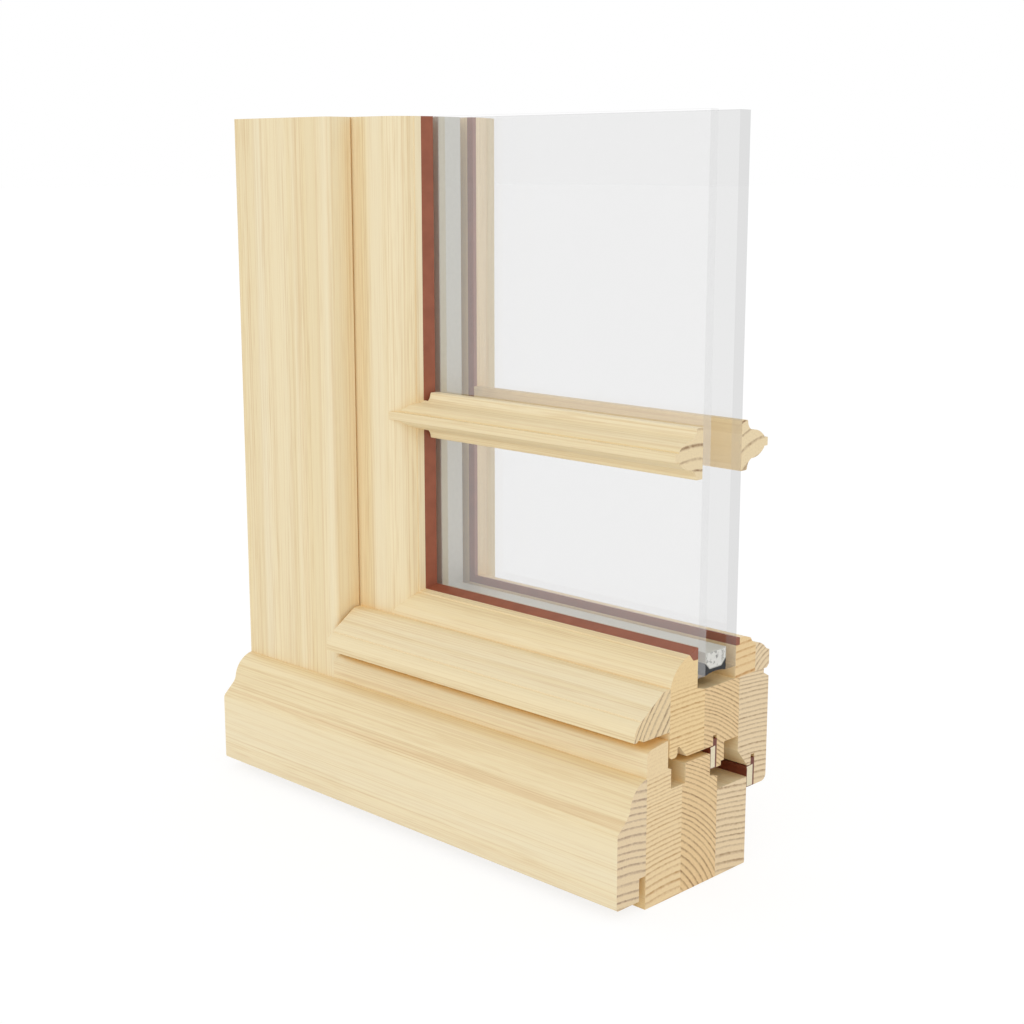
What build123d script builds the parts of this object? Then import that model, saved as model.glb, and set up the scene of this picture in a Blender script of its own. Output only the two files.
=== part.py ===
import os

from build123d import *

os.makedirs("parts", exist_ok=True)

# Corner sample of a wooden casement window: the lower left corner as seen from outside, sawn off at the
# right and at the top. Every section is drawn with two measures in millimetres. Depth runs inwards from
# the frame's front face. Reach runs from the frame's outer edge, which is the jamb's side or the sill's
# underside, towards the glass.
WIDTH = 264.0
HEIGHT = 323.6
TIMBER_DEPTH = 68.0
OUTER_LAMELLA = 23.0
MIDDLE_LAMELLA = 24.0

# Frame section, from the front upstand to the inner lamella
FRAME_FACE = 70.2
UPSTAND = 13.3
UPSTAND_FALL = 1.5
UPSTAND_STEP = 12.0
STEP_OUT = 2.2
STEP_FALL = 0.9
CHAMBER_DROP = 21.5
TONGUE_SETBACK = 2.0
TONGUE_CLEAR = 2.9
LEDGE_WIDTH = 5.3
LEDGE_FALL = 1.5
NIB_CLEAR = 2.7
INNER_CLEAR = 5.0
ARRIS = 3.0
SMALL_ARRIS = 1.0

# Sash section, from its outer face to the leg that overlaps the frame indoors
SHUT_GAP = 0.8
SASH_OVERLAP = 9.8
RAIL_HEIGHT = 26.6
LIP_RISE = 1.1
LIP_DEPTH = 5.3
LIP_ROUND = 2.0
NOTCH_RISE = 5.3
NOTCH_FLAT = 1.2
NOTCH_RUN = 6.2
NIB_LENGTH = 10.2
NIB_DEPTH = 5.2
NIB_STEP = 2.0
INNER_DROP = 15.4
SEAL_LAND = 2.4
BEVEL_RISE = 8.5
OVERLAP_LAP = 5.0
SHADOW_GROOVE = 3.6
GROOVE_FALL = 2.0
BACK_FALL = 4.0

# Moulding on the sash's outer face and the seat of the outer silicone
REBATE_CHEEK = 17.7
REBATE_HEIGHT = 14.0
REBATE_SLOPE = 1.5
SEAT_WIDTH = 3.0
SEAT_CHAMFER = 0.6
CREST_RISE = 3.0
CREST_BACK = 5.6
CREST_WIDTH = 3.2
CREST_FALL = 0.8
MOULDING_STEP = 0.6
OVOLO_RISE = 10.3
OVOLO_RADIUS = 14.5

# Glazing unit
OUTER_PANE = 5.0
CAVITY = 14.0
INNER_PANE = 7.0
GLASS_CLEAR = 5.6
UNIT_SHIFT = 1.4
SEALANT_DEPTH = 2.4
SEALANT_HOLLOW = 0.9
SPACER_HEIGHT = 7.7
SPACER_CHAMFER = 3.0
SPACER_WALL = 0.5

# Silicone and glazing beads
OUTER_FILLET_RISE = 2.0
SILICONE_WIDTH = 2.6
SILICONE_HEIGHT = 3.8
SILICONE_FALL = 0.6
BEAD_FRONT_STRIP = 14.2
BEAD_FACE = 8.0
BEAD_JOINT_HEIGHT = 13.0
BEAD_SEAT_HEIGHT = 14.5
BEAD_CROWN_BACK = 3.6
BEAD_CROWN_FALL = 1.8
BEAD_CROWN_RADIUS = 18.0
BEAD_COVE_RADIUS = 4.2
BEAD_STEP_BACK = 2.4
BEAD_STEP_RISE = 1.0
BEAD_ROUND_RADIUS = 11.0
BEAD_UNDERCUT = 1.5

# Seals
MIDDLE_SEAL = 4.3
OVERLAP_SEAL = 5.3
SEAL_SKIN = 0.3
SEAL_SPINE = 1.0
SEAL_STEM = 2.6
STEM_RISE = 2.8
GROOVE_SPARE = 1.7
SEAL_LIP = 0.4
SEAL_LIP_FALL = 0.3
SEAL_HOLLOW_DROP = 2.6
SEAL_HOLLOW_RADIUS = 3.0

# Glazing bars, alike on both faces of the glass
BAR_CENTRE = 187.6
BAR_LAND = 10.6
BAR_LAND_DEPTH = 3.6
BAR_LAND_CHAMFER = 0.5
BAR_WAIST = 6.0
BAR_WAIST_DEPTH = 7.2
BAR_COVE_RADIUS = 4.4
BAR_ROUND_RADIUS = 11.0
BAR_SHOULDER = 2.4
BAR_NOSE = 1.8
BAR_NOSE_LENGTH = 2.4
BAR_CLEAR = 1.0
OUTER_BAR_DEPTH = 17.6
INNER_BAR_DEPTH = 18.3

# Weather bar on the sash rail
WEATHER_BAR_CLEAR = 3.4
WEATHER_BAR_END = 0.8
WEATHER_BAR_SETDOWN = 0.3
DRIP_REACH = 8.3
DRIP_TIP = 1.5
DRIP_RISE = 0.6
DRIP_GROOVE = 4.0
DRIP_GROOVE_RADIUS = 2.3
DRIP_NOSE = 3.2
SHOULDER_RUN = 4.4
SHOULDER_RISE = 4.8
SHOULDER_RADIUS = 6.5
QUIRK = 0.5
SLOPE_TOP_BACK = 5.0
SLOPE_TOP_FALL = 0.4
SLOPE_TOP_RADIUS = 14.0

# Nosing on the front of the sill
NOSING_REACH = 18.0
NOSING_DROP = 13.0
NOSING_FOOT = 4.9
NOSING_GROOVE = 4.0
NOSING_GROOVE_HEIGHT = 10.1
NOSING_ROUND_DEPTH = 10.4
NOSING_ROUND_RISE = 10.6
NOSING_ROUND_RADIUS = 12.4
NOSING_COVE_RUN = 2.2
NOSING_COVE_RISE = 3.8
NOSING_COVE_RADIUS = 6.1
NOSING_CHAMFER_RISE = 5.2

LEFT = -WIDTH / 2
RIGHT = WIDTH / 2
FRAME_JOINT_1 = OUTER_LAMELLA
FRAME_JOINT_2 = OUTER_LAMELLA + MIDDLE_LAMELLA
SASH_FRONT = UPSTAND + SHUT_GAP
SASH_BACK = SASH_FRONT + TIMBER_DEPTH
SASH_JOINT_1 = SASH_FRONT + FRAME_JOINT_1
SASH_JOINT_2 = SASH_FRONT + FRAME_JOINT_2
FRONT = NOSING_REACH - (NOSING_REACH + SASH_BACK) / 2

SASH_FOOT = FRAME_FACE - SASH_OVERLAP
REBATE_FLOOR = SASH_FOOT + RAIL_HEIGHT
REBATE_LIP = REBATE_FLOOR + REBATE_HEIGHT
SIGHT_LINE = REBATE_LIP + CREST_RISE
OVOLO_TOP = SIGHT_LINE - CREST_FALL - MOULDING_STEP
MOULDING_FOOT = OVOLO_TOP - OVOLO_RISE
NIB_FOOT = SASH_FOOT - NIB_LENGTH
INNER_FOOT = SASH_FOOT - INNER_DROP
STILE_MIDDLE = SASH_FOOT + RAIL_HEIGHT / 2

CHAMBER_WALL = UPSTAND + STEP_OUT
CHAMBER_FLOOR = FRAME_FACE - CHAMBER_DROP
TONGUE_FRONT = FRAME_JOINT_1 + TONGUE_SETBACK
TONGUE_BACK = FRAME_JOINT_2 - LEDGE_WIDTH
TONGUE_TOP = SASH_FOOT - TONGUE_CLEAR
LEDGE_REACH = NIB_FOOT - NIB_CLEAR
INNER_REACH = INNER_FOOT - INNER_CLEAR
OVERLAP_FOOT = INNER_REACH - OVERLAP_LAP

SEAL_BACK = TONGUE_BACK + MIDDLE_SEAL
NIB_BACK = SEAL_BACK + NIB_DEPTH
OVERLAP_FRONT = TIMBER_DEPTH + OVERLAP_SEAL

GLASS_FRONT = SASH_FRONT + REBATE_CHEEK
CAVITY_FRONT = GLASS_FRONT + OUTER_PANE
CAVITY_BACK = CAVITY_FRONT + CAVITY
GLASS_BACK = CAVITY_BACK + INNER_PANE
PANE_FOOT = REBATE_FLOOR + GLASS_CLEAR
SPACER_FOOT = PANE_FOOT + SEALANT_DEPTH
SPACER_TOP = SPACER_FOOT + SPACER_HEIGHT
BEAD_JOINT = GLASS_BACK + BEAD_FRONT_STRIP
BEAD_SEAT = REBATE_FLOOR + BEAD_SEAT_HEIGHT
BEAD_TOP = BEAD_SEAT + SILICONE_HEIGHT - SILICONE_FALL

WEATHER_BAR_FOOT = FRAME_FACE + WEATHER_BAR_CLEAR
WEATHER_BAR_TOP = MOULDING_FOOT - WEATHER_BAR_SETDOWN
NOSING_TOP = FRAME_FACE - NOSING_DROP

# Sections of upright pieces lie on the top cut and run down. Those of level pieces start at the left
# and run right.
UPRIGHT = Plane(origin=(LEFT, FRONT, HEIGHT), x_dir=(0, 1, 0), z_dir=(0, 0, -1))
UNIT_UPRIGHT = Plane(origin=(LEFT + UNIT_SHIFT, FRONT, HEIGHT), x_dir=(0, 1, 0), z_dir=(0, 0, -1))


def level(start):
    return Plane(origin=(LEFT + start, FRONT, 0), x_dir=(0, 1, 0), z_dir=(1, 0, 0))


def corner_run(depth, reach, shift=0):
    """Path of a piece that turns the corner in one length, down the stile and along the rail."""
    with BuildLine() as run:
        Polyline(
            (LEFT + shift + reach, FRONT + depth, HEIGHT),
            (LEFT + shift + reach, FRONT + depth, reach),
            (RIGHT, FRONT + depth, reach),
        )
    return run.wire()


def mitre_waste(corner):
    """Triangle between the mitre and the given far corner, on the plane of the sash's inner face."""
    with BuildSketch(Plane.XZ.offset(-FRONT - SASH_BACK)) as waste:
        with BuildLine():
            Polyline((LEFT, 0), (LEFT + HEIGHT, HEIGHT), corner, close=True)
        make_face()
    return waste.sketch


def frame_outer(plane):
    """Outer lamella of the frame: the front face, the upstand and the chamber behind it."""
    with BuildSketch(plane) as section:
        with BuildLine():
            Polyline(
                (0, 0),
                (0, FRAME_FACE - UPSTAND_FALL),
                (UPSTAND, FRAME_FACE),
                (UPSTAND, FRAME_FACE - UPSTAND_STEP),
                (CHAMBER_WALL, FRAME_FACE - UPSTAND_STEP - STEP_FALL),
                (CHAMBER_WALL, CHAMBER_FLOOR),
                (FRAME_JOINT_1, CHAMBER_FLOOR),
                (FRAME_JOINT_1, 0),
                close=True,
            )
        make_face()
        fillet(section.vertices().sort_by_distance((0, FRAME_FACE))[0], ARRIS)
    return section.sketch


def frame_middle(plane):
    """Middle lamella of the frame: the tongue that the middle seal presses on, and a ledge behind it."""
    with BuildSketch(plane) as section:
        with BuildLine():
            Polyline(
                (FRAME_JOINT_1, 0),
                (FRAME_JOINT_1, CHAMBER_FLOOR),
                (TONGUE_FRONT, CHAMBER_FLOOR),
                (TONGUE_FRONT, TONGUE_TOP),
                (TONGUE_BACK, TONGUE_TOP),
                (TONGUE_BACK, LEDGE_REACH),
                (FRAME_JOINT_2, LEDGE_REACH - LEDGE_FALL),
                (FRAME_JOINT_2, 0),
                close=True,
            )
        make_face()
        fillet(section.vertices().sort_by_distance((TONGUE_FRONT, TONGUE_TOP))[0], SMALL_ARRIS)
        fillet(section.vertices().sort_by_distance((TONGUE_BACK, TONGUE_TOP))[0], SMALL_ARRIS)
    return section.sketch


def frame_inner(plane):
    with BuildSketch(plane) as section:
        with BuildLine():
            Polyline(
                (FRAME_JOINT_2, 0),
                (FRAME_JOINT_2, INNER_REACH),
                (TIMBER_DEPTH, INNER_REACH),
                (TIMBER_DEPTH, 0),
                close=True,
            )
        make_face()
    return section.sketch


def sash_outer(plane, solid_to=0):
    """Outer lamella of the sash: lip, drip notch, glass rebate and moulding, or a blank with that foot."""
    lip_foot = SASH_FOOT + LIP_RISE
    lip_back = SASH_FRONT + LIP_DEPTH
    with BuildSketch(plane) as section:
        with BuildLine():
            foot = Polyline(
                (SASH_FRONT, MOULDING_FOOT),
                (SASH_FRONT, lip_foot),
                (lip_back, lip_foot),
                (lip_back, SASH_FOOT + NOTCH_RISE),
                (lip_back + NOTCH_FLAT, SASH_FOOT + NOTCH_RISE),
                (lip_back + NOTCH_RUN, SASH_FOOT),
                (SASH_JOINT_1, SASH_FOOT),
                (SASH_JOINT_1, REBATE_FLOOR),
            )
            if solid_to:
                Polyline(foot @ 1, (SASH_JOINT_1, solid_to), (SASH_FRONT, solid_to), foot @ 0)
            else:
                rebate = Polyline(
                    foot @ 1,
                    (GLASS_FRONT, REBATE_FLOOR + REBATE_SLOPE),
                    (GLASS_FRONT, REBATE_LIP),
                    (GLASS_FRONT - SEAT_WIDTH, REBATE_LIP),
                    (GLASS_FRONT - SEAT_WIDTH - SEAT_CHAMFER, REBATE_LIP + SEAT_CHAMFER),
                    (GLASS_FRONT - CREST_BACK, SIGHT_LINE),
                    (GLASS_FRONT - CREST_BACK - CREST_WIDTH, SIGHT_LINE - CREST_FALL),
                    (GLASS_FRONT - CREST_BACK - CREST_WIDTH, OVOLO_TOP),
                )
                RadiusArc(rebate @ 1, foot @ 0, -OVOLO_RADIUS)
        make_face()
        fillet(section.vertices().sort_by_distance((SASH_FRONT, lip_foot))[0], LIP_ROUND)
        fillet(section.vertices().sort_by_distance((lip_back, lip_foot))[0], LIP_ROUND)
    return section.sketch


def sash_middle(plane, top=REBATE_FLOOR):
    """Middle lamella of the sash: the seal groove and the nib that covers the seal from indoors."""
    groove_top = SASH_FOOT + STEM_RISE + GROOVE_SPARE
    with BuildSketch(plane) as section:
        with BuildLine():
            Polyline(
                (SASH_JOINT_1, top),
                (SASH_JOINT_1, SASH_FOOT),
                (SEAL_BACK - SEAL_STEM, SASH_FOOT),
                (SEAL_BACK - SEAL_STEM, groove_top),
                (SEAL_BACK, groove_top),
                (SEAL_BACK, NIB_FOOT),
                (NIB_BACK - NIB_STEP, NIB_FOOT),
                (NIB_BACK - NIB_STEP, NIB_FOOT + NIB_STEP),
                (NIB_BACK, NIB_FOOT + NIB_STEP),
                (NIB_BACK, SASH_FOOT),
                (SASH_JOINT_2, SASH_FOOT),
                (SASH_JOINT_2, top),
                close=True,
            )
        make_face()
    return section.sketch


def sash_inner(plane, solid_to=0):
    """Inner lamella of the sash, with the leg that overlaps the frame, or a blank with that foot."""
    groove_top = INNER_FOOT + STEM_RISE + GROOVE_SPARE
    with BuildSketch(plane) as section:
        with BuildLine():
            foot = Polyline(
                (SASH_JOINT_2, REBATE_FLOOR),
                (SASH_JOINT_2, INNER_FOOT + BEVEL_RISE),
                (OVERLAP_FRONT - SEAL_STEM - SEAL_LAND, INNER_FOOT),
                (OVERLAP_FRONT - SEAL_STEM, INNER_FOOT),
                (OVERLAP_FRONT - SEAL_STEM, groove_top),
                (OVERLAP_FRONT, groove_top),
                (OVERLAP_FRONT, OVERLAP_FOOT),
                (SASH_BACK, OVERLAP_FOOT),
                (SASH_BACK, REBATE_FLOOR - BACK_FALL),
            )
            if solid_to:
                Polyline(foot @ 1, (SASH_BACK, solid_to), (SASH_JOINT_2, solid_to), foot @ 0)
            else:
                Polyline(
                    foot @ 1,
                    (SASH_BACK - SHADOW_GROOVE, REBATE_FLOOR - GROOVE_FALL),
                    (SASH_BACK - SHADOW_GROOVE, REBATE_FLOOR),
                    foot @ 0,
                )
        make_face()
        fillet(section.vertices().sort_by_distance((SASH_BACK, OVERLAP_FOOT))[0], ARRIS)
    return section.sketch


def nosing_section(plane):
    """Nosing with a chamfer, a small cove and a round up to the frame, and a groove behind its foot."""
    round_foot = NOSING_TOP - NOSING_ROUND_RISE
    cove_foot = round_foot - NOSING_COVE_RISE
    shoulder = cove_foot - NOSING_CHAMFER_RISE
    with BuildSketch(plane) as section:
        with BuildLine():
            back = Polyline(
                (0, NOSING_TOP),
                (0, NOSING_FOOT + NOSING_GROOVE_HEIGHT),
                (-NOSING_GROOVE, NOSING_FOOT + NOSING_GROOVE_HEIGHT),
                (-NOSING_GROOVE, NOSING_FOOT),
                (-NOSING_REACH, NOSING_FOOT),
                (-NOSING_REACH, shoulder),
                (-NOSING_ROUND_DEPTH - NOSING_COVE_RUN, cove_foot),
            )
            cove = RadiusArc(back @ 1, (-NOSING_ROUND_DEPTH, round_foot), -NOSING_COVE_RADIUS)
            RadiusArc(cove @ 1, back @ 0, NOSING_ROUND_RADIUS)
        make_face()
        fillet(section.vertices().sort_by_distance((-NOSING_REACH, shoulder))[0], ARRIS)
        fillet(section.vertices().sort_by_distance((-NOSING_REACH, NOSING_FOOT))[0], SMALL_ARRIS)
    return section.sketch


def weather_bar_section(plane):
    """Weather bar with a drip groove below, a rounded nose, a small quirk and a slope up to the sash face."""
    tip = WEATHER_BAR_FOOT + DRIP_RISE
    shoulder_foot = tip + DRIP_NOSE
    shoulder_top = shoulder_foot + SHOULDER_RISE
    with BuildSketch(plane) as section:
        with BuildLine():
            under = Polyline(
                (SASH_FRONT, WEATHER_BAR_TOP),
                (SASH_FRONT, WEATHER_BAR_FOOT),
                (-DRIP_REACH + DRIP_TIP + DRIP_GROOVE, WEATHER_BAR_FOOT),
            )
            groove = RadiusArc(under @ 1, (-DRIP_REACH + DRIP_TIP, tip), -DRIP_GROOVE_RADIUS)
            nose = Polyline(groove @ 1, (-DRIP_REACH, tip), (-DRIP_REACH, shoulder_foot))
            shoulder = RadiusArc(nose @ 1, (-DRIP_REACH + SHOULDER_RUN, shoulder_top), SHOULDER_RADIUS)
            slope = Polyline(
                shoulder @ 1,
                (-DRIP_REACH + SHOULDER_RUN, shoulder_top + QUIRK),
                (SASH_FRONT - SLOPE_TOP_BACK, WEATHER_BAR_TOP - SLOPE_TOP_FALL),
            )
            RadiusArc(slope @ 1, under @ 0, SLOPE_TOP_RADIUS)
        make_face()
    return section.sketch


def bead_front(plane):
    """Bead strip against the glass, with a seat for the inner silicone and a crown falling to the joint."""
    crown_back = BEAD_JOINT - BEAD_CROWN_BACK
    with BuildSketch(plane) as section:
        with BuildLine():
            seat = Polyline(
                (BEAD_JOINT, REBATE_FLOOR + BEAD_JOINT_HEIGHT),
                (BEAD_JOINT, REBATE_FLOOR),
                (GLASS_BACK, REBATE_FLOOR),
                (GLASS_BACK, BEAD_SEAT),
                (GLASS_BACK + SILICONE_WIDTH, BEAD_SEAT),
                (GLASS_BACK + SILICONE_WIDTH, BEAD_TOP),
            )
            crown = RadiusArc(seat @ 1, (crown_back, BEAD_TOP - BEAD_CROWN_FALL), BEAD_CROWN_RADIUS)
            RadiusArc(crown @ 1, seat @ 0, -BEAD_COVE_RADIUS)
        make_face()
    return section.sketch


def bead_back(plane):
    """Bead strip on the room side, with the lower round of the moulding and a plain face."""
    face_top = REBATE_FLOOR + BEAD_FACE
    with BuildSketch(plane) as section:
        with BuildLine():
            foot = Polyline(
                (BEAD_JOINT, REBATE_FLOOR + BEAD_JOINT_HEIGHT),
                (BEAD_JOINT, REBATE_FLOOR),
                (SASH_BACK - BEAD_UNDERCUT, REBATE_FLOOR),
                (SASH_BACK, REBATE_FLOOR + BEAD_UNDERCUT),
                (SASH_BACK, face_top),
                (SASH_BACK - BEAD_STEP_BACK, face_top + BEAD_STEP_RISE),
            )
            RadiusArc(foot @ 1, foot @ 0, -BEAD_ROUND_RADIUS)
        make_face()
    return section.sketch


def outer_silicone_section(plane):
    with BuildSketch(plane) as section:
        with BuildLine():
            Polyline(
                (GLASS_FRONT, REBATE_LIP),
                (GLASS_FRONT, SIGHT_LINE + OUTER_FILLET_RISE),
                (GLASS_FRONT - CREST_BACK, SIGHT_LINE),
                (GLASS_FRONT - SEAT_WIDTH - SEAT_CHAMFER, REBATE_LIP + SEAT_CHAMFER),
                (GLASS_FRONT - SEAT_WIDTH, REBATE_LIP),
                close=True,
            )
        make_face()
    return section.sketch


def inner_silicone_section(plane):
    with BuildSketch(plane) as section:
        with BuildLine():
            Polyline(
                (GLASS_BACK, BEAD_SEAT),
                (GLASS_BACK + SILICONE_WIDTH, BEAD_SEAT),
                (GLASS_BACK + SILICONE_WIDTH, BEAD_TOP),
                (GLASS_BACK, BEAD_TOP + SILICONE_FALL),
                close=True,
            )
        make_face()
    return section.sketch


def spacer_section(plane, wall=0):
    """Spacer tube between the panes, its lower corners cut back for the sealant, or the bore inside it."""
    with BuildSketch(plane) as section:
        with BuildLine():
            Polyline(
                (CAVITY_FRONT, SPACER_TOP),
                (CAVITY_FRONT, SPACER_FOOT + SPACER_CHAMFER),
                (CAVITY_FRONT + SPACER_CHAMFER, SPACER_FOOT),
                (CAVITY_BACK - SPACER_CHAMFER, SPACER_FOOT),
                (CAVITY_BACK, SPACER_FOOT + SPACER_CHAMFER),
                (CAVITY_BACK, SPACER_TOP),
                close=True,
            )
        make_face()
        if wall:
            offset(amount=-wall, kind=Kind.INTERSECTION, mode=Mode.REPLACE)
    return section.sketch


def sealant_section(plane):
    with BuildSketch(plane) as section:
        with BuildLine():
            sides = Polyline(
                (CAVITY_FRONT, PANE_FOOT),
                (CAVITY_FRONT, SPACER_FOOT + SPACER_CHAMFER),
                (CAVITY_FRONT + SPACER_CHAMFER, SPACER_FOOT),
                (CAVITY_BACK - SPACER_CHAMFER, SPACER_FOOT),
                (CAVITY_BACK, SPACER_FOOT + SPACER_CHAMFER),
                (CAVITY_BACK, PANE_FOOT),
            )
            SagittaArc(sides @ 1, sides @ 0, -SEALANT_HOLLOW)
        make_face()
    return section.sketch


def seal_section(plane, front, back, tip, seat):
    """Whole seal: a stem pressed into the sash groove and a bulb hollowed above the frame it meets."""
    with BuildSketch(plane) as section:
        with BuildLine():
            edges = Polyline(
                (front, seat - SEAL_HOLLOW_DROP),
                (front, tip),
                (back, tip),
                (back, seat + STEM_RISE),
                (back - SEAL_STEM, seat + STEM_RISE),
                (back - SEAL_STEM, seat),
                (front - SEAL_LIP, seat - SEAL_LIP_FALL),
            )
            RadiusArc(edges @ 1, edges @ 0, SEAL_HOLLOW_RADIUS)
        make_face()
    return section.sketch


def foam_section(plane, front, back, tip, seat):
    """Foam core of a seal, one skin inside the bulb and in front of the stem's spine."""
    with BuildSketch(plane) as section:
        with BuildLine():
            edges = Polyline(
                (front + SEAL_SKIN, seat - SEAL_HOLLOW_DROP),
                (front + SEAL_SKIN, tip + SEAL_SKIN),
                (back - SEAL_SPINE, tip + SEAL_SKIN),
                (back - SEAL_SPINE, seat - SEAL_SKIN),
                (front - SEAL_LIP + SEAL_SKIN, seat - SEAL_LIP_FALL - SEAL_SKIN),
            )
            RadiusArc(edges @ 1, edges @ 0, SEAL_HOLLOW_RADIUS)
        make_face()
    return section.sketch


def bar_section(plane, glass, depth):
    """Glazing bar on the glass: land, cove, ovolo and square nose. A depth below 0 points outdoors."""
    out = 1 if depth > 0 else -1
    nose = glass + depth - out * BAR_NOSE_LENGTH
    with BuildSketch(plane) as section:
        with BuildLine():
            for side in (1, -1):
                edge = BAR_CENTRE + side * BAR_LAND
                land_depth = glass + out * BAR_LAND_DEPTH
                land = Polyline(
                    (glass, BAR_CENTRE),
                    (glass, edge),
                    (land_depth, edge),
                    (land_depth + out * BAR_LAND_CHAMFER, edge - side * BAR_LAND_CHAMFER),
                )
                waist = (glass + out * BAR_WAIST_DEPTH, BAR_CENTRE + side * BAR_WAIST)
                cove = RadiusArc(land @ 1, waist, -out * side * BAR_COVE_RADIUS)
                shoulder = (nose, BAR_CENTRE + side * BAR_SHOULDER)
                ovolo = RadiusArc(cove @ 1, shoulder, out * side * BAR_ROUND_RADIUS)
                Polyline(
                    ovolo @ 1,
                    (nose, BAR_CENTRE + side * BAR_NOSE),
                    (glass + depth, BAR_CENTRE + side * BAR_NOSE),
                    (glass + depth, BAR_CENTRE),
                )
        make_face()
    return section.sketch


def finish(piece, name):
    piece.part.label = name
    export_step(piece.part, f"parts/{name}.step")


# Frame. The jamb's outer and inner lamellas run through to the bottom, the sill's middle one to the side.
with BuildPart() as frame_jamb_outer:
    extrude(frame_outer(UPRIGHT), amount=HEIGHT)

with BuildPart() as frame_sill_outer:
    extrude(frame_outer(level(CHAMBER_FLOOR)), amount=WIDTH - CHAMBER_FLOOR)
    add(frame_jamb_outer.part, mode=Mode.SUBTRACT)

with BuildPart() as frame_sill_middle:
    extrude(frame_middle(level(0)), amount=WIDTH)

with BuildPart() as frame_jamb_middle:
    extrude(frame_middle(UPRIGHT), amount=HEIGHT - INNER_REACH)
    add(frame_sill_middle.part, mode=Mode.SUBTRACT)

with BuildPart() as frame_jamb_inner:
    extrude(frame_inner(UPRIGHT), amount=HEIGHT)

with BuildPart() as frame_sill_inner:
    extrude(frame_inner(level(INNER_REACH)), amount=WIDTH - INNER_REACH)

with BuildPart() as sill_nosing:
    extrude(nosing_section(level(0)), amount=WIDTH)

# Sash, joined at the corner in the same way. Its underside is shaped alike on the stile and the rail.
with BuildPart() as sash_stile_outer:
    extrude(sash_outer(UPRIGHT), amount=HEIGHT)
    extrude(sash_outer(level(0), solid_to=HEIGHT), amount=WIDTH, mode=Mode.INTERSECT)

with BuildPart() as sash_rail_outer:
    extrude(sash_outer(level(STILE_MIDDLE)), amount=WIDTH - STILE_MIDDLE)
    add(sash_stile_outer.part, mode=Mode.SUBTRACT)

with BuildPart() as sash_rail_middle:
    extrude(sash_middle(level(0)), amount=WIDTH)
    extrude(sash_middle(UPRIGHT, top=WIDTH), amount=HEIGHT, mode=Mode.INTERSECT)

with BuildPart() as sash_stile_middle:
    extrude(sash_middle(UPRIGHT), amount=HEIGHT - STILE_MIDDLE)
    add(sash_rail_middle.part, mode=Mode.SUBTRACT)

with BuildPart() as sash_stile_inner:
    extrude(sash_inner(UPRIGHT), amount=HEIGHT)
    extrude(sash_inner(level(0), solid_to=HEIGHT), amount=WIDTH, mode=Mode.INTERSECT)

with BuildPart() as sash_rail_inner:
    extrude(sash_inner(level(STILE_MIDDLE)), amount=WIDTH - STILE_MIDDLE)
    add(sash_stile_inner.part, mode=Mode.SUBTRACT)

WEATHER_BAR_START = FRAME_FACE + WEATHER_BAR_END

with BuildPart() as weather_bar:
    extrude(weather_bar_section(level(WEATHER_BAR_START)), amount=WIDTH - WEATHER_BAR_START)

# Glazing unit: two panes held apart by a bent spacer, filled with drying grains and sealed behind. It stands a
# little further from the stile than from the rail.
PANE_WIDTH = WIDTH - UNIT_SHIFT - PANE_FOOT

with BuildPart() as outer_pane:
    with BuildSketch(Plane.XZ.offset(-FRONT - GLASS_FRONT)):
        with Locations((RIGHT, PANE_FOOT)):
            Rectangle(PANE_WIDTH, HEIGHT - PANE_FOOT, align=(Align.MAX, Align.MIN))
    extrude(amount=-OUTER_PANE)

with BuildPart() as inner_pane:
    with BuildSketch(Plane.XZ.offset(-FRONT - CAVITY_BACK)):
        with Locations((RIGHT, PANE_FOOT)):
            Rectangle(PANE_WIDTH, HEIGHT - PANE_FOOT, align=(Align.MAX, Align.MIN))
    extrude(amount=-INNER_PANE)

UNIT_RUN = corner_run(CAVITY_FRONT + CAVITY / 2, SPACER_FOOT, UNIT_SHIFT)

with BuildPart() as desiccant:
    sweep(spacer_section(UNIT_UPRIGHT, wall=SPACER_WALL), path=UNIT_RUN, transition=Transition.RIGHT)

with BuildPart() as spacer:
    sweep(spacer_section(UNIT_UPRIGHT), path=UNIT_RUN, transition=Transition.RIGHT)
    add(desiccant.part, mode=Mode.SUBTRACT)

with BuildPart() as edge_sealant:
    sweep(sealant_section(UNIT_UPRIGHT), path=UNIT_RUN, transition=Transition.RIGHT)

OUTER_FILLET_RUN = corner_run(GLASS_FRONT, REBATE_LIP)
INNER_FILLET_RUN = corner_run(GLASS_BACK, BEAD_SEAT)

with BuildPart() as outer_silicone:
    sweep(outer_silicone_section(UPRIGHT), path=OUTER_FILLET_RUN, transition=Transition.RIGHT)

with BuildPart() as inner_silicone:
    sweep(inner_silicone_section(UPRIGHT), path=INNER_FILLET_RUN, transition=Transition.RIGHT)

# Glazing beads, each of two glued strips, mitred at the corner.
UPRIGHT_WASTE = mitre_waste((LEFT + HEIGHT, 0))
LEVEL_WASTE = mitre_waste((LEFT, HEIGHT))

with BuildPart() as bead_stile_front:
    extrude(bead_front(UPRIGHT), amount=HEIGHT)
    extrude(UPRIGHT_WASTE, amount=SASH_BACK, mode=Mode.SUBTRACT)

with BuildPart() as bead_stile_back:
    extrude(bead_back(UPRIGHT), amount=HEIGHT)
    extrude(UPRIGHT_WASTE, amount=SASH_BACK, mode=Mode.SUBTRACT)

with BuildPart() as bead_rail_front:
    extrude(bead_front(level(0)), amount=WIDTH)
    extrude(LEVEL_WASTE, amount=SASH_BACK, mode=Mode.SUBTRACT)

with BuildPart() as bead_rail_back:
    extrude(bead_back(level(0)), amount=WIDTH)
    extrude(LEVEL_WASTE, amount=SASH_BACK, mode=Mode.SUBTRACT)

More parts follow.
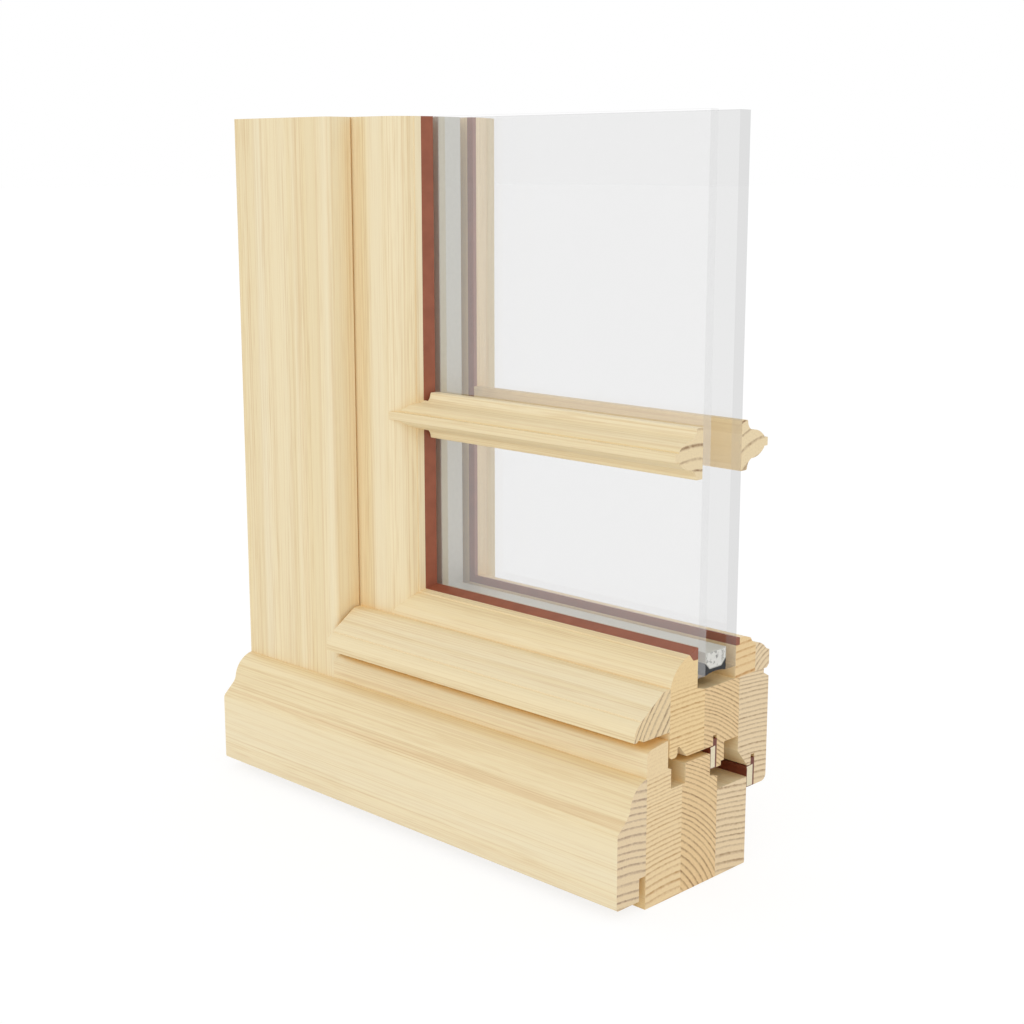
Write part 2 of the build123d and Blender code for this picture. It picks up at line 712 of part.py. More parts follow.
# Seals, each a pale foam core in a dark skin, turned round the corner in one length.
MIDDLE_SEAL_EDGES = (TONGUE_BACK, SEAL_BACK, NIB_FOOT, SASH_FOOT)
OVERLAP_SEAL_EDGES = (TIMBER_DEPTH, OVERLAP_FRONT, OVERLAP_FOOT, INNER_FOOT)
MIDDLE_RUN = corner_run(SEAL_BACK, SASH_FOOT)
OVERLAP_RUN = corner_run(OVERLAP_FRONT, INNER_FOOT)

with BuildPart() as middle_seal_foam:
    sweep(foam_section(UPRIGHT, *MIDDLE_SEAL_EDGES), path=MIDDLE_RUN, transition=Transition.RIGHT)

with BuildPart() as middle_seal_cover:
    sweep(seal_section(UPRIGHT, *MIDDLE_SEAL_EDGES), path=MIDDLE_RUN, transition=Transition.RIGHT)
    add(middle_seal_foam.part, mode=Mode.SUBTRACT)

with BuildPart() as overlap_seal_foam:
    sweep(foam_section(UPRIGHT, *OVERLAP_SEAL_EDGES), path=OVERLAP_RUN, transition=Transition.RIGHT)

with BuildPart() as overlap_seal_cover:
    sweep(seal_section(UPRIGHT, *OVERLAP_SEAL_EDGES), path=OVERLAP_RUN, transition=Transition.RIGHT)
    add(overlap_seal_foam.part, mode=Mode.SUBTRACT)

# Glazing bars laid on both faces of the glass, their ends scribed to the sash moulding and the bead. The outer
# one is notched behind the moulding's crest to clear the silicone.
BAR_HEEL = SIGHT_LINE + OUTER_FILLET_RISE + BAR_CLEAR

with BuildPart() as outer_glazing_bar:
    extrude(bar_section(level(REBATE_FLOOR), GLASS_FRONT, -OUTER_BAR_DEPTH), amount=WIDTH - REBATE_FLOOR)
    add(sash_stile_outer.part, mode=Mode.SUBTRACT)
    with BuildSketch(UPRIGHT):
        with Locations((GLASS_FRONT, BAR_HEEL)):
            Rectangle(CREST_BACK, BAR_HEEL - REBATE_FLOOR, align=(Align.MAX, Align.MAX))
    extrude(amount=HEIGHT, mode=Mode.SUBTRACT)

with BuildPart() as inner_glazing_bar:
    extrude(bar_section(level(PANE_FOOT), GLASS_BACK, INNER_BAR_DEPTH), amount=WIDTH - PANE_FOOT)
    add(bead_stile_front.part, mode=Mode.SUBTRACT)
    add(bead_stile_back.part, mode=Mode.SUBTRACT)
    add(inner_silicone.part, mode=Mode.SUBTRACT)

finish(frame_jamb_outer, "frame_jamb_outer_lamella")
finish(frame_jamb_middle, "frame_jamb_middle_lamella")
finish(frame_jamb_inner, "frame_jamb_inner_lamella")
finish(frame_sill_outer, "frame_sill_outer_lamella")
finish(frame_sill_middle, "frame_sill_middle_lamella")
finish(frame_sill_inner, "frame_sill_inner_lamella")
finish(sill_nosing, "sill_nosing")
finish(sash_stile_outer, "sash_stile_outer_lamella")
finish(sash_stile_middle, "sash_stile_middle_lamella")
finish(sash_stile_inner, "sash_stile_inner_lamella")
finish(sash_rail_outer, "sash_rail_outer_lamella")
finish(sash_rail_middle, "sash_rail_middle_lamella")
finish(sash_rail_inner, "sash_rail_inner_lamella")
finish(weather_bar, "weather_bar")
finish(outer_pane, "outer_pane")
finish(inner_pane, "inner_pane")
finish(spacer, "spacer")
finish(desiccant, "desiccant")
finish(edge_sealant, "edge_sealant")
finish(outer_silicone, "outer_silicone")
finish(inner_silicone, "inner_silicone")
finish(bead_stile_front, "bead_stile_front_strip")
finish(bead_stile_back, "bead_stile_back_strip")
finish(bead_rail_front, "bead_rail_front_strip")
finish(bead_rail_back, "bead_rail_back_strip")
finish(middle_seal_cover, "middle_seal_cover")
finish(middle_seal_foam, "middle_seal_foam")
finish(overlap_seal_cover, "overlap_seal_cover")
finish(overlap_seal_foam, "overlap_seal_foam")
finish(outer_glazing_bar, "outer_glazing_bar")
finish(inner_glazing_bar, "inner_glazing_bar")
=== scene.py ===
import math
from functools import partial

import bpy
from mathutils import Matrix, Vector


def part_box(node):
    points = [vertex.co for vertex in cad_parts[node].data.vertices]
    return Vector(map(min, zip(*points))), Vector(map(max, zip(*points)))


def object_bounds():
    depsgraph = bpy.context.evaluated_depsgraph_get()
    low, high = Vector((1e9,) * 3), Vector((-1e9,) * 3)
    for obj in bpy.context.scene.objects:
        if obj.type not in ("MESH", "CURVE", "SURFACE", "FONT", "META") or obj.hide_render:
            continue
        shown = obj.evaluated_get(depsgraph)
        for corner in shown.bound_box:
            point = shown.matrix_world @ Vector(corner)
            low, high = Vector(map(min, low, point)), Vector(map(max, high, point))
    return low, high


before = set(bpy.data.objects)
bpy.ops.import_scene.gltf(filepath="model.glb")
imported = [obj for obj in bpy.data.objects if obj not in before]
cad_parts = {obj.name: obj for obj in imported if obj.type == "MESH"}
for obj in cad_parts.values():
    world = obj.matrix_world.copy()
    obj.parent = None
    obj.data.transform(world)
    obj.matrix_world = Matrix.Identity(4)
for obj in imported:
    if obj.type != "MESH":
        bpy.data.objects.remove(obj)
cad_low, cad_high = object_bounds()

MM = 0.001
WHITE = "#FFFFFF"

# The camera stands off the corner between the front and the sawn right end, a little below the sample's top.
CAMERA_AT = Vector((547.06, -536.18, 301.87)) * MM
CAMERA_LOOK = Vector((-0.68410, 0.70104, -0.20136))
CAMERA_LENS = 59.31
CAMERA_SENSOR = 36.0
CAMERA_NEAR = 10 * MM

# A soft key lamp from the camera's side and a wide low one from the front. The even room gives most light.
KEY_LAMP = {"azimuth": 46.0, "elevation": 42.0, "spread": 13.0, "strength": 0.25}
FILL_LAMP = {"azimuth": 14.0, "elevation": 3.0, "spread": 60.0, "strength": 0.60}
ROOM_STRENGTH = 0.778
FLOOR_SIZE = 40.0
FLOOR_DROP = 0.2 * MM
FLOOR_SHADE = 0.25
FLOOR_GLOW = 1.075
FLOOR_PAPER = "#FCFCFC"

# A section's two measures, as the frame was drawn: depth inwards from the jamb's face, and reach from its
# outer edge.
JAMB_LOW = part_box("frame_jamb_outer_lamella")[0]
FRONT = JAMB_LOW.y / MM
LEFT = JAMB_LOW.x / MM

# Places of the sockets on Blender's colour mix node
MIX_FACTOR, MIX_A, MIX_B, MIX_RESULT = 0, 6, 7, 2

# Ranges and easing for the nodes that map one range to another
WHOLE = 0.0, 1.0
SMOOTH = {"interpolation_type": "SMOOTHSTEP"}


def colour(code):
    """Linear colour of an sRGB hex code."""
    channels = [int(code[i : i + 2], 16) / 255 for i in (1, 3, 5)]
    return [c / 12.92 if c <= 0.04045 else ((c + 0.055) / 1.055) ** 2.4 for c in channels] + [1.0]


def add(tree, kind, inputs=None, output=0, **settings):
    """One shader node with its settings, its plain input values and the links into it. Gives that output."""
    node = tree.nodes.new("ShaderNode" + kind)
    for name, value in settings.items():
        setattr(node, name, value)
    for place, value in (inputs or {}).items():
        if isinstance(value, bpy.types.NodeSocket):
            tree.links.new(value, node.inputs[place])
        else:
            node.inputs[place].default_value = value
    return node.outputs[output] if node.outputs else None


def between(value, cut, reach=WHOLE):
    """Inputs that map a value from the range of cut to the range of reach."""
    return {"Value": value, "From Min": cut[0], "From Max": cut[1], "To Min": reach[0], "To Max": reach[1]}


def new_material(name):
    material = bpy.data.materials.new(name)
    material.use_nodes = True
    material.node_tree.nodes.clear()
    return material, material.node_tree


def dress(node, material):
    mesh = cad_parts[node].data
    mesh.materials.clear()
    mesh.materials.append(material)


# Planed pine, unvarnished. Long faces are pale straw with yellower zones, long hairlines and short flecks, a
# few soft yellow bands and a rare thin red line. Sawn ends show the year rings as arcs: a pale spring growth
# that darkens to a thin brown summer line, frayed by the saw. Corners get painted shade, and nooks a painted
# deep orange glow that stands in for light going from wood to wood several times.
PALE_FACE = colour("#F4E6C3")
STRAW_FACE = colour("#F2DBA6")
HAIR_SHADE = colour("#D3B07C")
YELLOW_BAND = colour("#E3C98E")
RED_LINE = colour("#D9AC78")
# Painted shade for corners and a painted orange glow for nooks
PAINTED_CORNER_SHADE = colour("#E9C68C")
PAINTED_NOOK_GLOW = colour("#FFDC98")

# The most that each of these covers of the wood below it
STRAW_SHARE = 0.38
BAND_SHARE = 0.20
RED_SHARE = 0.22
HAIR_SHARE = 0.43
FLECK_SHARE = 0.30
CORNER_SHARE = 0.55

# Widths of the grain's patterns in mm, and how far two of them are drawn out along the board
ZONE_WIDTH = 16.0
HAIR_WIDTH = 0.6
FLECK_WIDTH = 0.9
BAND_WIDTH = 26.0
BAND_EDGE_WIDTH = 2.0
RED_WIDTH = 18.0
LONG_SQUEEZE = 1 / 240
FLECK_SQUEEZE = 1 / 28

# Where the noise of each pattern starts and where it is full. Bands and red lines lie along its middle value.
ZONE_CUT = 0.38, 0.62
LINED_CUT = 0.28, 0.60
HAIR_CUT = 0.48, 0.64
FLECK_CUT = 0.50, 0.68
SPECK_CUT = 0.30, 0.70
NOISE_MIDDLE = 0.5
BAND_CUT = 0.020, 0.050
BAND_RAGGED = 0.03
RED_CUT = 0.004, 0.012

# Year rings: sizes in mm, and shares of one ring's width
RING_WOBBLE = 1.6
RING_WOBBLE_WIDTH = 24.0
RING_UNEVEN = 1.2
RINGS_IN_GROUP = 5
RING_SPAN = 50.0
RING_COUNT_SHIFT = 1000.0
SUMMER_WIDTH = 2.5
SUMMER_MOST = 0.47
SUMMER_DARKEST = 0.82
SUMMER_FADE = 0.84, 0.98
FAINT_YEAR = 0.5
FAINT_STRETCH = 0.4
STRETCH_WIDTH = 2.2
CALM_LINES = 0.15
SAW_WIDTH = 1.1
SAW_JITTER = 0.55
PORE_WIDTH = 0.6
PORE_SPECKLE = -0.10, 0.16

# How squarely a sawn end faces along the board, and how far a corner or a nook is shut in for its painted
# shade and glow
SAWN_CUT = 0.8, 0.95
NOOK_REACH = 14.0
NOOK_SAMPLES = 6
CORNER_CUT = 0.12, 0.60
NOOK_CUT = 0.58, 0.92

GRAIN_RELIEF = 0.05
GRAIN_BUMP = 0.25
PLANED_ROUGHNESS = 0.50
HAIR_ROUGHNESS = 0.60
PINE_IOR = 1.45


def pine(name, along, pith, rings, early, late, seed, calm, pale, snug, standing):
    """Pine of one piece: along is its length axis, pith the depth and reach of its tree's centre. The rings
    are as wide as the first value near the sawn end's foot, and as the second one RING_SPAN further out. They
    fade between the calm heights. A lower snug value weakens the painted corner shade and nook glow. On a
    standing piece none of that is painted near the floor."""
    material, tree = new_material(name)
    lay = partial(add, tree)
    place = lay("TexCoord", output="Object")
    height = lay("SeparateXYZ", {0: place}, "Z")
    if along == "X":
        axis = (1.0, 0.0, 0.0)
        centre = (0.0, -FRONT - pith[0], -pith[1])
    else:
        axis = (0.0, 0.0, 1.0)
        centre = (-LEFT - pith[1], -FRONT - pith[0], 0.0)

    def drawn_out(squeeze):
        """Place in mm from the pith, squeezed along the board so that patterns come out longer."""
        scale = [(squeeze if a else 1.0) / MM for a in axis]
        shift = [c * (squeeze if a else 1.0) for a, c in zip(axis, centre)]
        return lay("Mapping", {"Vector": place, "Location": shift, "Scale": scale})

    def spots(where, width, shift, cut, detail=2.0):
        """Spots of that width in mm. Each pattern's own shift keeps it apart from the others."""
        inputs = {"Vector": where, "W": seed + shift, "Scale": 1 / width, "Detail": detail}
        return lay("MapRange", between(lay("TexNoise", inputs, noise_dimensions="4D"), cut))

    def painted(wood, *coats):
        """The wood's colour with coats laid over it, each with the share that it covers."""
        for cover, paint in coats:
            wood = lay("Mix", {MIX_FACTOR: cover, MIX_A: wood, MIX_B: paint}, MIX_RESULT, data_type="RGBA")
        return wood

    across = drawn_out(LONG_SQUEEZE)
    close = drawn_out(FLECK_SQUEEZE)
    free = drawn_out(1.0)

    # Distance from the pith, bent a little, of uneven width and frayed by the saw, counted in rings
    near, far = rings
    distance = lay("VectorMath", {0: across}, "Value", operation="LENGTH")
    wobble = spots(across, RING_WOBBLE_WIDTH, 0, WHOLE)
    bent = lay("Math", {0: wobble, 1: RING_WOBBLE, 2: distance}, operation="MULTIPLY_ADD")
    group = lay("Math", {0: bent, 1: 1 / (RINGS_IN_GROUP * near), 2: seed}, operation="MULTIPLY_ADD")
    uneven = lay("TexNoise", {"W": group, "Scale": 1.0, "Detail": 0.0}, noise_dimensions="1D")
    bent = lay("Math", {0: uneven, 1: RING_UNEVEN * near, 2: bent}, operation="MULTIPLY_ADD")
    frayed = spots(free, SAW_WIDTH, 3, WHOLE)
    bent = lay("Math", {0: frayed, 1: SAW_JITTER, 2: bent}, operation="MULTIPLY_ADD")
    outwards = lay("Math", {0: bent, 1: math.hypot(*pith)}, operation="SUBTRACT")
    closing = (near / far - 1) / (2 * RING_SPAN)
    tightened = lay("Math", {0: outwards, 1: closing, 2: 1.0}, operation="MULTIPLY_ADD")
    even_count = lay("Math", {0: outwards, 1: near}, operation="DIVIDE")
    count = lay("Math", {0: tightened, 1: even_count}, operation="MULTIPLY")

    # One summer line in each ring, fainter in some years and along some stretches
    shifted = lay("Math", {0: count, 1: RING_COUNT_SHIFT}, operation="ADD")
    share = lay("Math", {0: shifted}, operation="FRACT")
    slim = SUMMER_DARKEST - SUMMER_MOST * min(1.0, 2 * SUMMER_WIDTH / (near + far))
    line = lay("MapRange", between(share, (slim, SUMMER_DARKEST)), **SMOOTH)
    number = lay("Math", {0: count}, operation="FLOOR")
    year = lay("TexWhiteNoise", {"W": number}, noise_dimensions="1D")
    stretch = spots(free, STRETCH_WIDTH, 4, SPECK_CUT)
    fades = [
        lay("MapRange", between(share, SUMMER_FADE, (1.0, 0.0)), **SMOOTH),
        lay("MapRange", between(year, WHOLE, (FAINT_YEAR, 1.0))),
        lay("MapRange", between(stretch, WHOLE, (FAINT_STRETCH, 1.0))),
    ]
    if calm:
        calm_heights = [rise * MM for rise in calm]
        fades.append(lay("MapRange", between(height, calm_heights, (1.0, CALM_LINES)), **SMOOTH))
    for fade in fades:
        line = lay("Math", {0: line, 1: fade}, operation="MULTIPLY")

    # Long faces: yellower zones, then bands and red lines, then hairlines and short flecks
    zone = spots(across, ZONE_WIDTH, 5, ZONE_CUT)
    lined = spots(across, ZONE_WIDTH / 2, 6, LINED_CUT)
    hair = spots(across, HAIR_WIDTH, 7, HAIR_CUT)
    hair = lay("Math", {0: hair, 1: lined}, operation="MULTIPLY")
    fleck = spots(close, FLECK_WIDTH, 9, FLECK_CUT)
    fleck = lay("Math", {0: fleck, 1: lined}, operation="MULTIPLY")
    ragged = spots(close, BAND_EDGE_WIDTH, 10, WHOLE)
    band_middle = -NOISE_MIDDLE - BAND_RAGGED / 2
    edge = lay("Math", {0: ragged, 1: BAND_RAGGED, 2: band_middle}, operation="MULTIPLY_ADD")
    band = lay("Math", {0: spots(across, BAND_WIDTH, 11, WHOLE), 1: edge}, operation="ADD")
    band = lay("Math", {0: band}, operation="ABSOLUTE")
    red = spots(across, RED_WIDTH, 13, WHOLE, detail=1.0)
    red = lay("Math", {0: red, 1: NOISE_MIDDLE}, operation="SUBTRACT")
    red = lay("Math", {0: red}, operation="ABSOLUTE")
    red = lay("MapRange", between(red, RED_CUT, (RED_SHARE, 0.0)), **SMOOTH)
    face = painted(
        pale,
        (lay("Math", {0: zone, 1: STRAW_SHARE}, operation="MULTIPLY"), STRAW_FACE),
        (lay("MapRange", between(band, BAND_CUT, (BAND_SHARE, 0.0)), **SMOOTH), YELLOW_BAND),
        (lay("Math", {0: red, 1: zone}, operation="MULTIPLY"), RED_LINE),
        (lay("Math", {0: hair, 1: HAIR_SHARE}, operation="MULTIPLY"), HAIR_SHADE),
        (lay("Math", {0: fleck, 1: FLECK_SHARE}, operation="MULTIPLY"), HAIR_SHADE),
    )

    # Sawn ends: the rings, speckled by the pores
    pore = spots(free, PORE_WIDTH, 15, SPECK_CUT)
    pore = lay("MapRange", between(pore, WHOLE, PORE_SPECKLE))
    speckled = lay("Math", {0: line, 1: pore}, operation="ADD", use_clamp=True)
    end = painted(colour(early), (speckled, colour(late)))
    normal = lay("NewGeometry", output="True Normal")
    facing = lay("VectorMath", {0: normal, 1: axis}, "Value", operation="DOT_PRODUCT")
    facing = lay("Math", {0: facing}, operation="ABSOLUTE")
    sawn = lay("MapRange", between(facing, SAWN_CUT), **SMOOTH)

    # Painted shade in corners and a painted orange glow in narrow nooks, set by how shut in they are, but not
    # on sawn ends
    open_sky = lay("AmbientOcclusion", {"Distance": NOOK_REACH * MM}, "AO", samples=NOOK_SAMPLES)
    shut = lay("Math", {0: 1.0, 1: open_sky}, operation="SUBTRACT")
    planed = lay("Math", {0: sawn, 1: -snug, 2: snug}, operation="MULTIPLY_ADD")
    shut = lay("Math", {0: shut, 1: planed}, operation="MULTIPLY")
    # No painted nook shade or glow where the floor shuts a standing piece in
    if standing:
        lifted = lay("MapRange", between(height, (0.0, NOOK_REACH * MM)), **SMOOTH)
        shut = lay("Math", {0: shut, 1: lifted}, operation="MULTIPLY")
    # Shares of the painted corner shade and of the painted nook glow
    corner = lay("MapRange", between(shut, CORNER_CUT, (0.0, CORNER_SHARE)), **SMOOTH)
    painted_glow_mask = lay("MapRange", between(shut, NOOK_CUT), **SMOOTH)
    wood = painted(face, (sawn, end), (corner, PAINTED_CORNER_SHADE), (painted_glow_mask, PAINTED_NOOK_GLOW))

    inputs = {"Height": hair, "Strength": GRAIN_BUMP, "Distance": GRAIN_RELIEF * MM}
    relief = lay("Bump", inputs, invert=True)
    rough = lay("MapRange", between(hair, WHOLE, (PLANED_ROUGHNESS, HAIR_ROUGHNESS)))
    inputs = {"Base Color": wood, "Roughness": rough, "Normal": relief, "IOR": PINE_IOR}
    lay("OutputMaterial", {"Surface": lay("BsdfPrincipled", inputs)})
    return material


# Colours of the sawn ends: spring growth, then summer line
OUTER_END = "#F5DCAE", "#BC8E54"
MIDDLE_END = "#F0D19E", "#86592F"
INNER_END = "#F0D9B2", "#A2805A"
SASH_END = "#F5D8A2", "#C08F52"
PINK_END = "#F0D9B2", "#9E806A"
GREY_END = "#F2D9AC", "#8A6A4E"
ORANGE_END = "#F2D4A0", "#BC8038"
BAR_END = "#F5E0B6", "#7C4C1E"

# The tree's centre, as depth and reach, and the ring widths of each board, all in mm
OUTER_BOARD = (18, -160), (4.0, 1.7)
MIDDLE_BOARD = (-8, -28), (4.4, 2.1)
INNER_BOARD = (25, -190), (3.2, 2.2)
NOSING_BOARD = (-30, -140), (3.6, 3.0)
SASH_OUTER_BOARD = (25, -240), (1.9, 1.9)
SASH_MIDDLE_BOARD = (4, -12), (2.4, 1.9)
SASH_INNER_BOARD = (52, -160), (3.0, 2.2)
WEATHER_BOARD = (90, 20), (2.9, 2.9)
BEAD_FRONT_BOARD = (70, -100), (3.5, 3.5)
BEAD_BACK_BOARD = (90, 70), (2.3, 2.3)
OUTER_BAR_BOARD = (25, 140), (5.6, 5.6)
INNER_BAR_BOARD = (78, 150), (6.6, 6.6)

# Heights in mm between which the summer lines of two boards fade
SILL_CALM = 54, 59
SASH_CALM = 89, 92

# The beads and the inner bar get a rosier pine, the beads a lighter one too: painted light that makes up for
# the dimmer light behind the panes. The bars lie in the open, where shallow steps make no deep nooks, so
# their painted nook shade and glow are weaker. The nosing and the inner sill board stand on the floor.
ROSY_FACE_PAINTED_LIGHT = colour("#FFEAC4")
PEACH_FACE_PAINTED_LIGHT = colour("#F5DFB6")
FACES_PAINTED_LIGHT = {
    "bead_stile_front_strip": ROSY_FACE_PAINTED_LIGHT,
    "bead_rail_front_strip": ROSY_FACE_PAINTED_LIGHT,
    "inner_glazing_bar": PEACH_FACE_PAINTED_LIGHT,
}
BARS = "outer_glazing_bar", "inner_glazing_bar"
BAR_SNUG = 0.5
STANDING = "sill_nosing", "frame_sill_inner_lamella"
SEED_STEP = 3.7

for number, (piece, along, (pith, rings), (early, late), calm) in enumerate((
    ("frame_jamb_outer_lamella", "Z", OUTER_BOARD, OUTER_END, None),
    ("frame_jamb_middle_lamella", "Z", MIDDLE_BOARD, MIDDLE_END, None),
    ("frame_jamb_inner_lamella", "Z", INNER_BOARD, INNER_END, None),
    ("frame_sill_outer_lamella", "X", OUTER_BOARD, OUTER_END, SILL_CALM),
    ("frame_sill_middle_lamella", "X", MIDDLE_BOARD, MIDDLE_END, None),
    ("frame_sill_inner_lamella", "X", INNER_BOARD, INNER_END, None),
    ("sill_nosing", "X", NOSING_BOARD, PINK_END, None),
    ("sash_stile_outer_lamella", "Z", SASH_OUTER_BOARD, SASH_END, None),
    ("sash_stile_middle_lamella", "Z", SASH_MIDDLE_BOARD, MIDDLE_END, None),
    ("sash_stile_inner_lamella", "Z", SASH_INNER_BOARD, INNER_END, None),
    ("sash_rail_outer_lamella", "X", SASH_OUTER_BOARD, SASH_END, SASH_CALM),
    ("sash_rail_middle_lamella", "X", SASH_MIDDLE_BOARD, MIDDLE_END, None),
    ("sash_rail_inner_lamella", "X", SASH_INNER_BOARD, INNER_END, None),
    ("weather_bar", "X", WEATHER_BOARD, GREY_END, None),
    ("bead_stile_front_strip", "Z", BEAD_FRONT_BOARD, ORANGE_END, None),
    ("bead_stile_back_strip", "Z", BEAD_BACK_BOARD, INNER_END, None),
    ("bead_rail_front_strip", "X", BEAD_FRONT_BOARD, ORANGE_END, None),
    ("bead_rail_back_strip", "X", BEAD_BACK_BOARD, INNER_END, None),
    ("outer_glazing_bar", "X", OUTER_BAR_BOARD, BAR_END, None),
    ("inner_glazing_bar", "X", INNER_BAR_BOARD, BAR_END, None),
)):
    wood = pine(
        "planed_pine_" + piece, along, pith, rings, early, late,
        seed=number * SEED_STEP,
        calm=calm,
        pale=FACES_PAINTED_LIGHT.get(piece, PALE_FACE),
        snug=BAR_SNUG if piece in BARS else 1.0,
        standing=piece in STANDING,
    )
    dress(piece, wood)


# Float glass: clear faces that lay a pale veil over what lies behind, and ground cut edges that are greyer.
# The outer pane's coating mirrors a little more than bare glass, and the inner pane's greys it. Light falls
# through both freely.
GLASS_IOR = 1.5
GLASS_ROUGHNESS = 0.03
OUTER_COAT = 0.15


def float_glass(name, coat, face, edge):
    material, tree = new_material(name)
    lay = partial(add, tree)
    normal = lay("NewGeometry", output="True Normal")
    facing = lay("VectorMath", {0: normal, 1: (0.0, 1.0, 0.0)}, "Value", operation="DOT_PRODUCT")
    facing = lay("Math", {0: facing}, operation="ABSOLUTE")
    inputs = {MIX_FACTOR: facing, MIX_A: colour(edge), MIX_B: colour(face)}
    clear = lay("BsdfTransparent", {"Color": lay("Mix", inputs, MIX_RESULT, data_type="RGBA")})
    gloss = lay("BsdfGlossy", {"Color": colour(WHITE), "Roughness": GLASS_ROUGHNESS})
    # The face that is met first mirrors for the whole pane
    behind = lay("NewGeometry", output="Backfacing")
    first = lay("Math", {0: 1.0, 1: behind}, operation="SUBTRACT")
    mirror = lay("Math", {0: lay("Fresnel", {"IOR": GLASS_IOR}), 1: coat}, operation="ADD")
    mirror = lay("Math", {0: mirror, 1: first}, operation="MULTIPLY", use_clamp=True)
    lay("OutputMaterial", {"Surface": lay("MixShader", {0: mirror, 1: clear, 2: gloss})})
    return material


for pane, glass in (
    ("outer_pane", float_glass("float_glass", OUTER_COAT, WHITE, "#F3F3F3")),
    ("inner_pane", float_glass("coated_float_glass", 0.0, "#F3F3F3", "#E8E8E8")),
):
    dress(pane, glass)
    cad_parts[pane].visible_shadow = False
    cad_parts[pane].visible_diffuse = False


MOTTLE_CUT = 0.35, 0.65
MOTTLE_BUMP = 0.4


def filler(name, main, shade, grain, roughness, relief, metallic=0.0):
    """Plain finish: a fine mottle of two close colours, with a grain of that many mm, and a slight relief."""
    material, tree = new_material(name)
    lay = partial(add, tree)
    place = lay("TexCoord", output="Object")
    mottle = lay("TexNoise", {"Vector": place, "Scale": 1 / (grain * MM), "Detail": 3.0})
    mottle = lay("MapRange", between(mottle, MOTTLE_CUT))
    inputs = {MIX_FACTOR: mottle, MIX_A: colour(main), MIX_B: colour(shade)}
    mixed = lay("Mix", inputs, MIX_RESULT, data_type="RGBA")
    bump = lay("Bump", {"Height": mottle, "Strength": MOTTLE_BUMP, "Distance": relief * MM})
    inputs = {"Base Color": mixed, "Roughness": roughness, "Metallic": metallic, "Normal": bump}
    lay("OutputMaterial", {"Surface": lay("BsdfPrincipled", inputs)})
    return material


# Brown silicone, tooled smooth: an even reddish brown with a soft sheen.
silicone = filler("brown_silicone", "#99563C", "#8F4F36", grain=6.0, roughness=0.42, relief=0.05)
dress("outer_silicone", silicone)
dress("inner_silicone", silicone)

# Polythene skin of the seals: dark red-brown, thin and slightly glossy.
seal_skin = filler("polythene_seal_skin", "#74341F", "#682C1A", grain=3.0, roughness=0.40, relief=0.05)
dress("middle_seal_cover", seal_skin)
dress("overlap_seal_cover", seal_skin)

# Polyurethane foam core of the seals: cream, open celled and dull.
seal_foam = filler("polyurethane_foam", "#F6EDD2", "#E6D9B6", grain=0.5, roughness=0.9, relief=0.15)
dress("middle_seal_foam", seal_foam)
dress("overlap_seal_foam", seal_foam)

# Rolled aluminium of the spacer, dulled by its oxide: light grey with a soft satin reflection.
aluminium = filler(
    "rolled_aluminium", "#C6C5BC", "#C2C1B8", grain=2.0, roughness=0.45, relief=0.01, metallic=0.25
)
dress("spacer", aluminium)

# Polysulphide edge sealant: trowelled, near black and matt.
sealant = filler("polysulphide_sealant", "#2E2F31", "#232425", grain=1.5, roughness=0.7, relief=0.10)
dress("edge_sealant", sealant)


# Drying grains: packed white beads, with painted shade in the gaps left here and there between them.
GRAIN_SIZE = 0.8
GAP_CUT = 0.02, 0.14
PATCH_SIZE = 2.2
PATCH_CUT = 0.52, 0.60
GRAIN_HEIGHT = 0.2
GRAIN_ROUNDING = 0.6
GRAIN_ROUGHNESS = 0.8


def drying_grains():
    material, tree = new_material("zeolite_grains")
    lay = partial(add, tree)
    place = lay("TexCoord", output="Object")
    inputs = {"Vector": place, "Scale": 1 / (GRAIN_SIZE * MM)}
    gap = lay("TexVoronoi", inputs, "Distance", feature="DISTANCE_TO_EDGE")
    gap = lay("MapRange", between(gap, GAP_CUT))
    patch = lay("TexNoise", {"Vector": place, "Scale": 1 / (PATCH_SIZE * MM), "Detail": 1.0})
    patch = lay("MapRange", between(patch, PATCH_CUT, (1.0, 0.0)))
    no_gap_shade = lay("Math", {0: gap, 1: patch}, operation="MAXIMUM")
    # Dark grey is painted shade in the gaps between the beads, light grey the beads
    inputs = {MIX_FACTOR: no_gap_shade, MIX_A: colour("#6E6C66"), MIX_B: colour("#EAE9E3")}
    mixed = lay("Mix", inputs, MIX_RESULT, data_type="RGBA")
    bump = lay("Bump", {"Height": gap, "Strength": GRAIN_ROUNDING, "Distance": GRAIN_HEIGHT * MM})
    inputs = {"Base Color": mixed, "Roughness": GRAIN_ROUGHNESS, "Normal": bump}
    lay("OutputMaterial", {"Surface": lay("BsdfPrincipled", inputs)})
    return material


dress("desiccant", drying_grains())


def white_to_camera(tree):
    """1 where a surface is seen straight, in a mirror or through glass, and 0 where it only gives light."""
    seen = add(tree, "LightPath", output="Is Camera Ray")
    for way in ("Is Glossy Ray", "Is Transmission Ray"):
        ray = add(tree, "LightPath", output=way)
        seen = add(tree, "Math", {0: seen, 1: ray}, operation="MAXIMUM")
    return seen


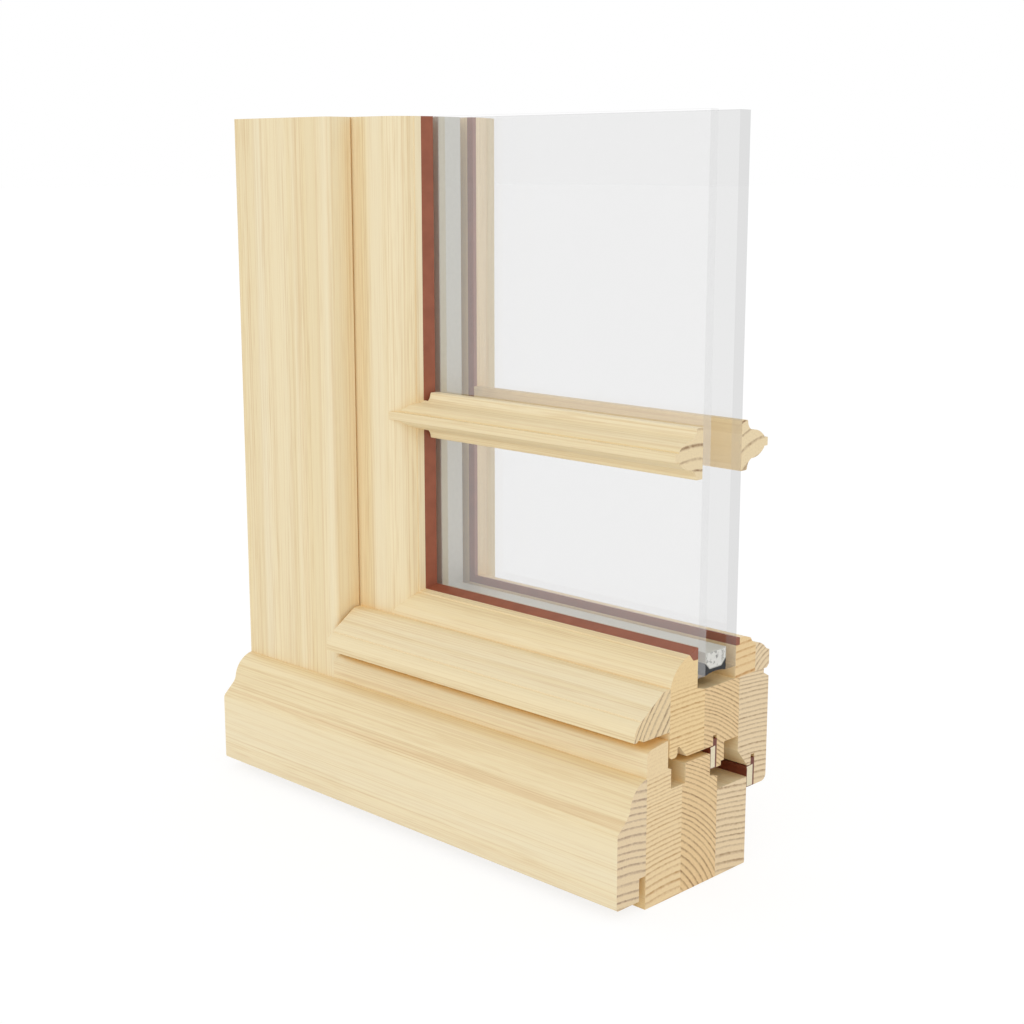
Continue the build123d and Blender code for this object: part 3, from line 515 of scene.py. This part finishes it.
# Pale floor under the sample. It shows white to the camera and keeps a faint share of the sample's shadow.
bpy.ops.mesh.primitive_plane_add(size=FLOOR_SIZE, location=(0, 0, cad_low.z - FLOOR_DROP))
floor = bpy.context.object
floor.name = "studio_floor"
paper, paper_tree = new_material("white_studio_paper")
lay_paper = partial(add, paper_tree)
paper_inputs = {0: white_to_camera(paper_tree), 1: 1 - FLOOR_SHADE}
paper_seen = lay_paper("Math", paper_inputs, operation="MULTIPLY")
paper_diffuse = lay_paper("BsdfDiffuse", {"Color": colour(FLOOR_PAPER)})
paper_white = lay_paper("Emission", {"Color": colour(WHITE), "Strength": FLOOR_GLOW})
paper_mixed = lay_paper("MixShader", {0: paper_seen, 1: paper_diffuse, 2: paper_white})
lay_paper("OutputMaterial", {"Surface": paper_mixed})
floor.data.materials.append(paper)

# Even pale room, which shows white behind the sample.
world = bpy.data.worlds.new("white_room")
world.use_nodes = True
bpy.context.scene.world = world
room = world.node_tree
room.nodes.clear()
room_level = add(room, "MapRange", between(white_to_camera(room), WHOLE, (ROOM_STRENGTH, 1.0)))
room_light = add(room, "Background", {"Color": colour(WHITE), "Strength": room_level})
add(room, "OutputWorld", {"Surface": room_light})


def soft_lamp(name, azimuth, elevation, spread, strength):
    """A distant lamp: azimuth from the front towards the right, elevation above the floor, in degrees."""
    side, rise = math.radians(azimuth), math.radians(elevation)
    towards = Vector((math.sin(side) * math.cos(rise), -math.cos(side) * math.cos(rise), math.sin(rise)))
    lamp = bpy.data.objects.new(name, bpy.data.lights.new(name, "SUN"))
    lamp.data.energy = strength
    lamp.data.angle = math.radians(spread)
    lamp.rotation_euler = (-towards).to_track_quat("-Z", "Y").to_euler()
    bpy.context.scene.collection.objects.link(lamp)


soft_lamp("key_lamp", **KEY_LAMP)
soft_lamp("fill_lamp", **FILL_LAMP)

camera = bpy.data.objects.new("camera", bpy.data.cameras.new("camera"))
camera.data.lens = CAMERA_LENS
camera.data.sensor_width = CAMERA_SENSOR
camera.data.clip_start = CAMERA_NEAR
camera.location = CAMERA_AT
camera.rotation_euler = CAMERA_LOOK.to_track_quat("-Z", "Y").to_euler()
bpy.context.scene.collection.objects.link(camera)
bpy.context.scene.camera = camera

bpy.context.scene.view_settings.view_transform = "Standard"
